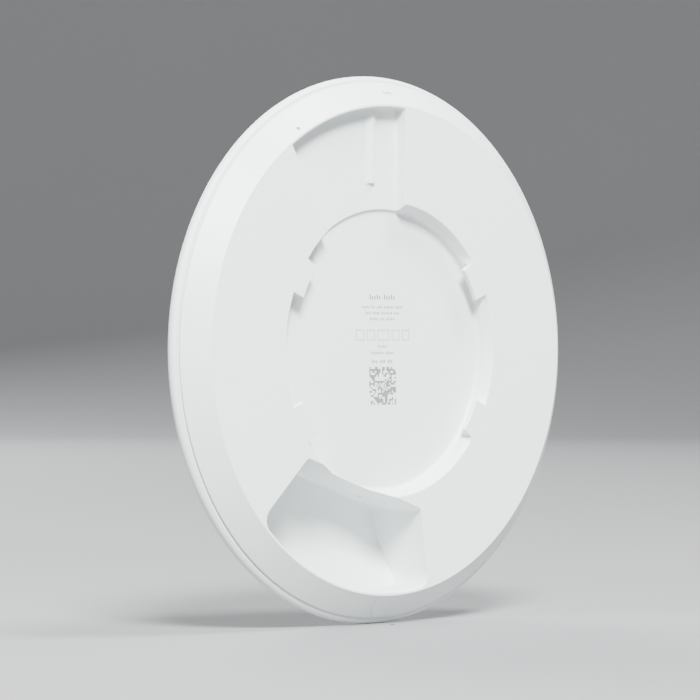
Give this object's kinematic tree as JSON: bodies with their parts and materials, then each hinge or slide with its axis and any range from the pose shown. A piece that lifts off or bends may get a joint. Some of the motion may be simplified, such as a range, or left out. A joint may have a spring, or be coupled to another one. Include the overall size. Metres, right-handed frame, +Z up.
{
  "type": "ceiling access point",
  "caption": "Ceiling-mounted wireless access point: shallow white dome with a bayonet recess, latch slot and cable pocket in its back, and a light ring in its front.",
  "frame": {"origin": "centre of the back face, on the dome's axis, where the ceiling bracket's boss enters", "axes": "-Y out of the back face towards the ceiling, +Y out of the dome, +Z up with the cable pocket at the bottom and the latch slot at the top, +X to the right as seen from behind"},
  "size_m": [0.176, 0.043, 0.176],
  "materials": {
    "shell_plastic": "fine moulded texture, satin",
    "light_guide": "milky translucent, smooth",
    "white_plastic": "plain",
    "circuit_board": "solder mask over glass fibre",
    "lamp_package": "clear resin over phosphor",
    "ivory_plastic": "plain",
    "screw_steel": "zinc plated",
    "sink_aluminium": "extruded, plain",
    "thermal_rubber": "soft matt pad",
    "tinned_steel": "bright tin plate",
    "chip_plastic": "moulded epoxy",
    "ferrite": "ground ceramic",
    "capacitor_sleeve": "drawn can",
    "jack_plastic": "glass-filled, matt",
    "contact_gold": "gold plated",
    "antenna_metal": "stamped, tin plated"
  },
  "bodies": {
    "access_point": {"rear_housing": "shell_plastic", "cable_knockout": "shell_plastic", "front_cover": "shell_plastic", "centre_cap": "shell_plastic", "light_ring": "light_guide", "lamp_holder": "white_plastic", "lamp_board": "circuit_board", "lamps": "lamp_package", "lamp_cable": "white_plastic", "flat_connectors": "ivory_plastic", "main_board": "circuit_board", "board_screws": "screw_steel", "heat_sink": "sink_aluminium", "heat_sink_screws": "screw_steel", "thermal_pads": "thermal_rubber", "shield_frames": "tinned_steel", "shield_lids": "tinned_steel", "processor": "chip_plastic", "memory_chips": "chip_plastic", "radio_chips": "chip_plastic", "line_transformer": "chip_plastic", "power_transformer": "ferrite", "capacitors": "capacitor_sleeve", "inductors": "ferrite", "jack_body": "jack_plastic", "jack_shield": "tinned_steel", "jack_contacts": "contact_gold", "reset_switch": "chip_plastic", "low_antenna_1": "antenna_metal", "low_antenna_2": "antenna_metal", "low_antenna_3": "antenna_metal", "high_antenna_1": "antenna_metal", "high_antenna_2": "antenna_metal", "high_antenna_3": "antenna_metal"},
    "reset_plunger": {"reset_button": "jack_plastic"}
  },
  "joints": [
    {"name": "reset_press", "type": "slide", "parent": "access_point", "child": "reset_plunger", "axis": [0.3256, 0, 0.9455], "range_m": [0, 0.0003], "stiffness_N_per_m": 3000}
  ]
}
